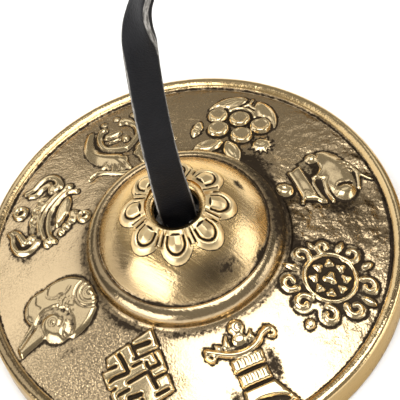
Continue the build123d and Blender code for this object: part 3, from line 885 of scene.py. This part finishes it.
def castingProfile(s):
    # Each row is where a stretch ends, how far it bulges, and its steps
    quarter = 1 - math.sqrt(0.5)
    drop = s["wall"] / math.cos(math.radians(s["fieldSlope"]))
    rim, high = s["rimRadius"], s["rimHeight"]
    hole, lip, foot = s["holeRadius"], s["lipRound"], s["footRadius"]
    land = rim - s["landWidth"]
    line = [(hole, seatHeight)]
    for end, bulge, steps in (
            ((hole - s["throatIn"], mouthHeight - 2.2 * lip), 0, 4),
            ((lipRadius, mouthHeight), 0.6 * lip, 10),
            ((domeRadius, ringTop), s["domeBulge"], 24),
            ((grooveRadius, ringTop), -s["grooveDepth"], 4),
            ((foot, ringBase), s["ringBulge"], 12),
            ((flareRadius, flareHeight), -s["footFlare"] / 5, 5),
            ((fieldRadius, fieldEdge), 0, 60),
            ((rim - s["crestRound"], high), s["crestBulge"], 8),
            ((rim, high - s["crestRound"]), s["crestRound"] * quarter, 6),
            ((rim, s["landRound"]), 0, 5),
            ((rim - s["landRound"], 0), s["landRound"] * quarter, 4),
            ((land, 0), 0, 2),
            ((land - s["landRound"], fieldHeight(land) - drop), 0, 3),
            ((foot, fieldHeight(foot) - drop), 0, 9),
            ((foot - s["wall"] / 2, ringBase - s["wall"] / 2), 0, 3),
            ((hole + s["seatWidth"], seatHeight), -s["domeBulge"], 12),
            ((hole, seatHeight), 0, 2)):
        line += bulged(line[-1], end, bulge, steps)
    return line[:-1]


def finishTree(shape, finish, label):
    real = value(shape.tree, "GeometryNodeRealizeInstances", Geometry=shape)
    final = value(shape.tree, "GeometryNodeSetMaterial", Geometry=real, Material=finish)
    addNode(shape.tree, "NodeGroupOutput", **{label: final})
    return shape.tree


def turningTree():
    # A profile carried round a small circle: x of the profile is the radius
    tree, given = newGroup("turnedCasting", "GeometryNodeTree",
                           {"Geometry": "Profile", "Int": "StepsAround", "Float": "CoreRadius",
                            "Material": "Finish"}, {"Geometry": "Casting"})
    circle = value(tree, "GeometryNodeCurvePrimitiveCircle", Resolution=given["StepsAround"],
                   Radius=given["CoreRadius"])
    turned = value(tree, "GeometryNodeCurveToMesh", Curve=circle, Profile_Curve=given["Profile"])
    return finishTree(turned, given["Finish"], "Casting")


def useTree(made, tree, **inputs):
    modifier = made.modifiers.new(tree.name, "NODES")
    modifier.node_group = tree
    for item in tree.interface.items_tree:
        if item.in_out == "INPUT" and item.name in inputs:
            modifier[item.identifier] = inputs[item.name]


def emblemPlace(angle, u, v):
    # Plan position of a point of an emblem, on a cymbal that stands at the origin
    place = (emblemSettings["circle"] - v + 1j * u) * np.exp(1j * math.radians(angle))
    return place.real, place.imag


def emblemLocal(angle, x, y):
    place = (x + 1j * y) * np.exp(-1j * math.radians(angle))
    return place.imag, emblemSettings["circle"] - place.real


# Patches of unwiped antiquing and painted shadow beside the emblems: beside which emblem, its u and v, how
# wide and long, how dark
shadowAndPatinaPatches = (
    ("banner", 4.5, -0.8, 1.6, 3.8, 1.0), ("banner", -3.6, -4.0, 1.3, 3.0, 0.7),
    ("conch", 6.9, -0.6, 1.3, 3.4, 0.7), ("endlessKnot", -5.0, 8.2, 4.8, 1.6, 0.75),
    ("parasol", 9.2, -2.6, 1.2, 2.9, 0.75), ("wheel", 4.5, 7.4, 4.5, 2.0, 0.7),
    ("vase", -6.8, -1.0, 2.2, 4.8, 0.75), ("lotus", -4.5, 7.2, 4.2, 1.9, 0.75),
)
# Painted dark reflections on the dome and painted shade on the sides of the foot ring: which way, how far
# out, how wide in degrees, how long, how dark
paintedShadeSmudges = (
    (14, 11.6, 9, 0.8, 0.85), (-84, 12.2, 14, 1.9, 0.45), (-64, 12.4, 11, 1.6, 0.75),
    (-40, 14.4, 10, 0.8, 0.8), (-118, 14.6, 30, 0.5, 0.5), (0, 16.3, 46, 1.1, 0.85),
    (175, 16.3, 30, 0.8, 0.5),
)
# Heights that part the casting's upper face from its underside, by radius
underLine = ((4, 6, 15, 17.2, 35, 38), (21.5, 20.8, 12.5, 9.9, 4.0, 3.0))


def antiquingAndPaintedShade(x, y, r, angle, top, field):
    # How much antiquing is left, with painted shade: in the turned grooves, in the painted smudges and the
    # patches, and round the foot of each emblem
    dark = 0.95 * bell(r, grooveRadius - 0.25, 0.20) + 0.55 * bell(r, flareRadius - 0.4, 1.0)
    dark += 0.85 * bell(r, fieldRadius + 0.05, 0.32)
    dark += 0.7 * bell(r, fieldRadius - 0.1, 0.5) * bell(angle, -22, 30)
    dark += 0.30 * bell(r, 20, 4.5) * bell(angle, 35, 45)
    # Painted dark reflections and painted shade, from the smudges
    for way, out, wide, long, amount in paintedShadeSmudges:
        dark += amount * bell(angle, way, wide) * bell(r, out, long)
    dark = np.where(top, dark, 0.35)
    # Antiquing and painted shadow, from the patches
    for label, alongU, alongV, wide, long, amount in shadowAndPatinaPatches:
        u, v = emblemLocal(emblems[label][0], x, y)
        dark += np.where(field, amount * bell(u, alongU, wide) * bell(v, alongV, long), 0)
    # A dark band round the foot of each emblem: antiquing and painted shade
    for turn, draw, shade, _ in emblems.values():
        u, v = emblemLocal(turn, x, y)
        near = field & (np.abs(u) < emblemSettings["halfWidth"]) & (np.abs(v) < emblemSettings["halfLength"])
        outside = np.clip(-draw(u[near], v[near]), 0, 1)
        dark[near] = np.maximum(dark[near], shade * bell(outside, 0, emblemSettings["halo"]))
    return np.clip(dark, 0, 1)


def filmAndPaintedShade(r, angle, z, top, field):
    # The thin brown film, with painted shade and painted dark reflections: on the foot ring, darker on its
    # left and right sides, in parts of the field, with a painted shadow at the left front, as painted dark
    # reflections on the front and left of the dome, and on the rim, darker on the crest's left and right
    side = np.abs(angle)
    foot = (0.62 + 0.30 * np.cos(np.radians(2 * angle))) * np.exp(-np.clip(r - flareRadius, 0, 30) / 0.9)
    plain = 0.35 * bell(angle, -146, 22) * bell(r, 22, 7) + 0.2 * bell(angle, 55, 45)
    plain += (0.3 + 0.6 * bell(r, 29, 4)) * bell(angle, -6, 15)
    dome = 0.95 * bell(angle, -78, 21) * bell(r, 12.2, 2.4) + 0.75 * bell(side, 160, 36) * bell(r, 13.4, 3)
    film = np.where(top & (r > grooveRadius - 0.2), foot, 0) + np.where(field, plain, 0)
    film += np.where(top & (r < domeRadius), dome, 0)
    crest = 0.05 + 0.25 * bell(angle, -10, 50) + 0.8 * bell(side, 170, 45)
    return np.select([(r > 36.4) & (z < 5.8), r > fieldRadius + 0.5], [0.72, crest], film)


def castingFinish(mesh):
    # Where the brass is dark with antiquing and painted shade, rubbed, golden, filmed brown with painted
    # shade, sandy, wrinkled or brushed
    x, y, z = (meshPoints(mesh) / mm).T
    r, angle = np.hypot(x, y), np.degrees(np.arctan2(y, x))
    top = z > np.interp(r, *underLine)
    field = top & (r > flareRadius - 0.2) & (r < fieldRadius + 0.3)
    rubbed = 0.5 * bell(r, casting["footRadius"] - 1.2, 0.6) + 0.7 * bell(r, casting["rimRadius"] - 0.9, 0.8)
    rubbed = np.where(top, np.maximum(rubbed, np.where(r < domeRadius, 0.1, 0)), 0.15)
    sandy = 0.2 + 0.5 * bell(angle, -3, 28) + 0.6 * bell(angle, -140, 24) + 0.15 * bell(angle, 75, 30)
    wrinkled = 0.1 + 1.5 * bell(angle, -3, 28) + 0.1 * bell(angle, 75, 30)
    left = 0.55 * bell(np.abs(angle), 180, 75)
    setAttributes(
        mesh, hollow=antiquingAndPaintedShade(x, y, r, angle, top, field), rubbed=np.clip(rubbed, 0, 1),
        gilt=np.select([r < 10.5, r < domeRadius, r > fieldRadius + 0.4], [0.8, 0.5, 0.9], 0),
        film=filmAndPaintedShade(r, angle, z, top, field),
        sandy=np.where(field, sandy, 0.12), wrinkled=np.where(field, wrinkled, 0.05),
        brushed=np.select([~top, r < domeRadius, r < flareRadius], [0, 1.0, 0.6], left))


def makeCasting(tree):
    core = 0.5
    profile = [((r - core) * mm, -z * mm, 0) for r, z in castingProfile(casting)]
    made, spline = newCurve("castingProfile", "POLY", profile)
    spline.use_cyclic_u = True
    useTree(made, tree, StepsAround=casting["stepsAround"], CoreRadius=core * mm, Finish=groundBrass)
    made = plainMesh(made, "casting")
    castingFinish(made.data)
    return made


def blurred(grid, cells):
    # Box blur, three passes
    for axis in (0, 1) * 3:
        padded = np.pad(grid, [(cells, cells) if k == axis else (0, 0) for k in (0, 1)], "edge")
        grid = np.lib.stride_tricks.sliding_window_view(padded, 2 * cells + 1, axis).mean(axis=2)
    return grid


def closeBelow(mesh, depth):
    # Walls down from the open edges and a floor, so that the form is a closed body
    work = bmesh.new()
    work.from_mesh(mesh)
    bmesh.ops.delete(work, geom=[p for p in work.verts if not p.link_faces], context="VERTS")
    rim = [edge for edge in work.edges if edge.is_boundary]
    walls = bmesh.ops.extrude_edge_only(work, edges=rim)["geom"]
    for point in (part for part in walls if isinstance(part, bmesh.types.BMVert)):
        point.co.z -= depth * mm
    bmesh.ops.holes_fill(work, edges=[edge for edge in work.edges if edge.is_boundary])
    bmesh.ops.recalc_face_normals(work, faces=work.faces)
    work.to_mesh(mesh)
    work.free()


def reliefMesh(name, points, height, firstCorner, s, **layers):
    # The cells of a grid that stand out of the casting, closed below
    index = np.arange(height.size).reshape(height.shape)
    cells = np.stack([index[:-1, :-1], index[1:, :-1], index[1:, 1:], index[:-1, 1:]], axis=2)
    solid = (height.ravel()[cells] > -s["sunk"] + 0.01).any(axis=2)
    for _ in range(2):
        # Cells that would meet at one corner only are joined
        solid[1:, :-1] |= solid[:-1, :-1] & solid[1:, 1:] & ~solid[:-1, 1:]
        solid[1:, 1:] |= solid[:-1, 1:] & solid[1:, :-1] & ~solid[:-1, :-1]
    mesh = bpy.data.meshes.new(name)
    faces = np.roll(cells[solid], -firstCorner, axis=1).tolist()
    mesh.from_pydata(np.stack(points, axis=2).reshape(-1, 3) * mm, [], faces)
    setAttributes(mesh, **layers)
    mesh.materials.append(reliefBrass)
    closeBelow(mesh, s["skirt"])
    mesh.shade_smooth()
    return newObject(name, mesh)


def reliefWearAndShade(above, sharp, s):
    # Antiquing with painted shade: dark in the hollows and along the foot, where shade falls, rubbed where
    # the form stands out of what is round it
    least, inHollows, atFoot, footOver = s["dark"]
    hollow = np.clip(least - inHollows * sharp + atFoot * np.exp(-above / footOver), 0, 1.4)
    rubbed, onTops = s["rub"]
    return {"hollow": hollow, "rubbed": np.clip(rubbed + onTops * sharp, 0, 1)}


def makeEmblem(name, angle, draw, shade, film, s):
    u, v = np.meshgrid(*(np.linspace(-half, half, int(2 * half / s["step"]) + 1)
                         for half in (s["halfWidth"], s["halfLength"])), indexing="ij")
    height = s["relief"] * blurred(np.clip(draw(u, v), -s["sunk"] / s["relief"], None), s["softCells"])
    draws = np.random.default_rng(len(name))
    fine, slow = (blurred(draws.normal(size=u.shape), s[cells]) for cells in ("fineCells", "slowCells"))
    wander = s["uneven"] * fine / fine.std() + s["rolling"] * slow / slow.std()
    height = height + wander * np.clip(height / s["unevenFrom"], 0, 1)
    above = np.clip(height, 0, None)
    sharp = 0.6 * (above - blurred(above, 2)) + 0.4 * (above - blurred(above, 7))
    # Antiquing with painted shade in the hollows and at the foot, and rubbed wear
    wear = reliefWearAndShade(above, sharp, s)
    wear["hollow"] *= shade
    x, y = emblemPlace(angle, u, v)
    r = np.hypot(x, y)
    tilt = math.radians(casting["fieldSlope"])
    lean, stand = math.sin(tilt), math.cos(tilt)
    points = x + height * lean * x / r, y + height * lean * y / r, fieldHeight(r) + height * stand
    return reliefMesh(name, points, height, 0, s, **wear, sandy=0.5, wrinkled=0.3, gilt=0.12, film=film)


# Rosette: one petal, repeated round the hole by Geometry Nodes
petal = {
    "count": 8, "start": 30.0, "inner": 5.0, "outer": 10.2, "halfAngle": 22.3, "rise": 0.66, "head": 2.6,
    "rounding": 1.3, "loopAt": 7.1, "loopWide": 1.5, "loopLong": 1.45, "loopFrom": 5.8, "pillow": 0.45,
    "dashAngle": 19.2, "dashFrom": 5.15, "dashTo": 7.8, "sunk": 0.25, "skirt": 0.2,
    "span": 24.0, "margin": 0.5, "steps": (73, 52), "loopCut": (0.46, 0.24), "dashCut": (0.45, 0.22),
    "dark": (0.10, 13.0, 0.7, 0.09), "rub": (0.6, 4.0),
}


def domePoint(radius, rise):
    line = bulged((lipRadius, mouthHeight), (domeRadius, ringTop), casting["domeBulge"], 60)
    line = np.array([(lipRadius, mouthHeight)] + line)
    slopeZ = np.gradient(line[:, 1], line[:, 0])
    z, lean = np.interp(radius, line[:, 0], line[:, 1]), np.interp(radius, line[:, 0], slopeZ)
    size = np.hypot(1, lean)
    return radius - rise * lean / size, z + rise / size


def petalHeight(a, r, s):
    # a is the angle from the petal's middle, in degrees
    arc = np.radians(a) * r
    half = np.radians(s["halfAngle"])
    head = s["outer"] - s["head"]
    tip = np.hypot(arc / (half * head), (r - head) / s["head"]) - 1
    d = 2.2 * np.where(r > head, tip, np.minimum(np.abs(arc) / (half * r) - 1, -0.3))
    crown = np.hypot(arc / s["loopWide"], (r - s["loopAt"]) / s["loopLong"]) - 1
    loop = np.where(r > s["loopAt"], crown, np.abs(arc) / (0.2 * r + 0.08) - 1)
    loop = np.where(r < s["loopFrom"], 1.0, loop)
    beside = (r > s["dashFrom"]) & (r < s["dashTo"])
    dashes = np.where(beside, np.radians(np.abs(a) - s["dashAngle"]) * r, 1.0)
    pad = mound(d, s["rise"], s["rounding"]) + s["pillow"] * np.clip(-loop, 0, 1)
    return pad - groove(loop * 1.4, *s["loopCut"]) - groove(dashes, *s["dashCut"])


def makePetal(s):
    angles = np.linspace(-s["span"], s["span"], s["steps"][0])
    radii = np.linspace(s["inner"], s["outer"] + s["margin"], s["steps"][1])
    a, r = np.meshgrid(angles, radii, indexing="ij")
    height = np.clip(petalHeight(a, r, s), -s["sunk"], None)
    above = np.clip(height, 0, None)
    # Antiquing with painted shade in the hollows and at the foot, and rubbed wear
    wear = reliefWearAndShade(above, above - blurred(above, 2), s)
    reach, z = domePoint(r, height)
    points = reach * np.cos(np.radians(a)), reach * np.sin(np.radians(a)), z
    return reliefMesh("petal", points, height, 1, s, **wear, sandy=0.1, gilt=1.0, brushed=1.0)


def ringTree():
    # One form repeated round the upright axis
    tree, given = newGroup("petalRing", "GeometryNodeTree",
                           {"Geometry": "Petal", "Int": "Count", "Float": "Start", "Material": "Finish"},
                           {"Geometry": "Rosette"})
    spots = value(tree, "GeometryNodePoints", Count=given["Count"])
    step = value(tree, "ShaderNodeMath", {"operation": "DIVIDE"}, _0=2 * math.pi, _1=given["Count"])
    turn = value(tree, "GeometryNodeInputIndex") * step + given["Start"]
    copies = value(tree, "GeometryNodeInstanceOnPoints", Points=spots, Instance=given["Petal"],
                   Rotation=value(tree, "ShaderNodeCombineXYZ", Z=turn))
    return finishTree(copies, given["Finish"], "Rosette")


def placeCopy(pattern, host, label):
    # A copy of a piece on one of the pair, its place in its mesh
    mesh = pattern.data.copy()
    s = pair[host]
    mesh.transform(Matrix.Translation((s["x"] * mm, 0, 0)) @ Matrix.Rotation(math.radians(s["turn"]), 4, "Z"))
    made = newObject(f"{host}_{label}", mesh)
    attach(made, host)
    return made


patterns = {"body": makeCasting(turningTree())}
print("casting turned, faces:", len(patterns["body"].data.polygons))
for emblemName, traits in emblems.items():
    patterns[emblemName] = makeEmblem(emblemName, *traits, emblemSettings)
print("emblems ready, faces:", sum(len(p.data.polygons) for p in patterns.values()))
onePetal = makePetal(petal)
useTree(onePetal, ringTree(), Count=petal["count"], Start=math.radians(petal["start"]), Finish=reliefBrass)
patterns["rosette"] = plainMesh(onePetal, "rosette")
for hostName in pair:
    for label, pattern in patterns.items():
        made = placeCopy(pattern, hostName, label)
        if label == "body":
            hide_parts(hostName)
for pattern in patterns.values():
    bpy.data.objects.remove(pattern)
print("cymbals placed")

# Floor and light
floorSettings = {"far": 3.0, "scale": 3.0, "dim": (0.93, 0.93, 0.93, 1), "pale": (0.96, 0.96, 0.96, 1),
                 "rough": 0.8}


def makeFloor(s):
    mesh = bpy.data.meshes.new("floor")
    far = s["far"]
    mesh.from_pydata([(-far, -far, 0), (far, -far, 0), (far, far, 0), (-far, far, 0)], [], [(0, 1, 2, 3)])
    material, tree = newMaterial("paleFloor")
    place = value(tree, "ShaderNodeTexCoord", None, "Object")
    tint = mixColour(noise(place, s["scale"]), s["dim"], s["pale"])
    showSurface(tree, Base_Color=tint, Roughness=s["rough"])
    mesh.materials.append(material)
    newObject("floor", mesh)


# Lamps, in metres from the first cymbal; glow is watts for a quarter of a square metre
lamps = {
    "overhead": {"towards": (0.16, -0.10, 0.98), "away": 0.80, "size": (0.60, 0.64), "glow": 2.7},
    "frontLeft": {"towards": (-0.824, -0.476, 0.309), "away": 0.80, "size": (0.75, 0.40), "glow": 3.0},
    "leftBack": {"towards": (-0.49, 0.51, 0.70), "away": 0.90, "size": (0.80, 0.70), "glow": 0.76},
    "right": {"towards": (0.95, -0.22, 0.22), "away": 0.80, "size": (0.62, 0.34), "glow": 1.7},
    "rightBack": {"towards": (0.50, 0.53, 0.69), "away": 0.90, "size": (0.30, 0.30), "glow": 0.55},
    "floorFill": {"towards": (0, 0, 1), "away": 1.60, "size": (2.0, 2.0), "glow": 1.0, "mirrored": False},
}
sky = {"Color": (1.0, 0.95, 0.87, 1), "Strength": 0.29}


def makeLamp(name, s):
    data = bpy.data.lights.new(name, "AREA")
    data.shape = "RECTANGLE"
    data.size, data.size_y = s["size"]
    data.energy = s["glow"] * 4 * data.size * data.size_y
    lamp = newObject(name, data)
    lamp.visible_glossy = s.get("mirrored", True)
    towards = Vector(s["towards"]).normalized()
    lamp.location = Vector(cameraSettings["target"]) * mm + towards * s["away"]
    lamp.rotation_euler = (-towards).to_track_quat("-Z", "Y").to_euler()


makeFloor(floorSettings)
for lampName, lampSettings in lamps.items():
    makeLamp(lampName, lampSettings)
world = bpy.data.worlds.new("studio")
world.use_nodes = True
for label, level in sky.items():
    world.node_tree.nodes["Background"].inputs[label].default_value = level
bpy.context.scene.world = world
bpy.context.scene.view_settings.view_transform = "Standard"
print("light ready")
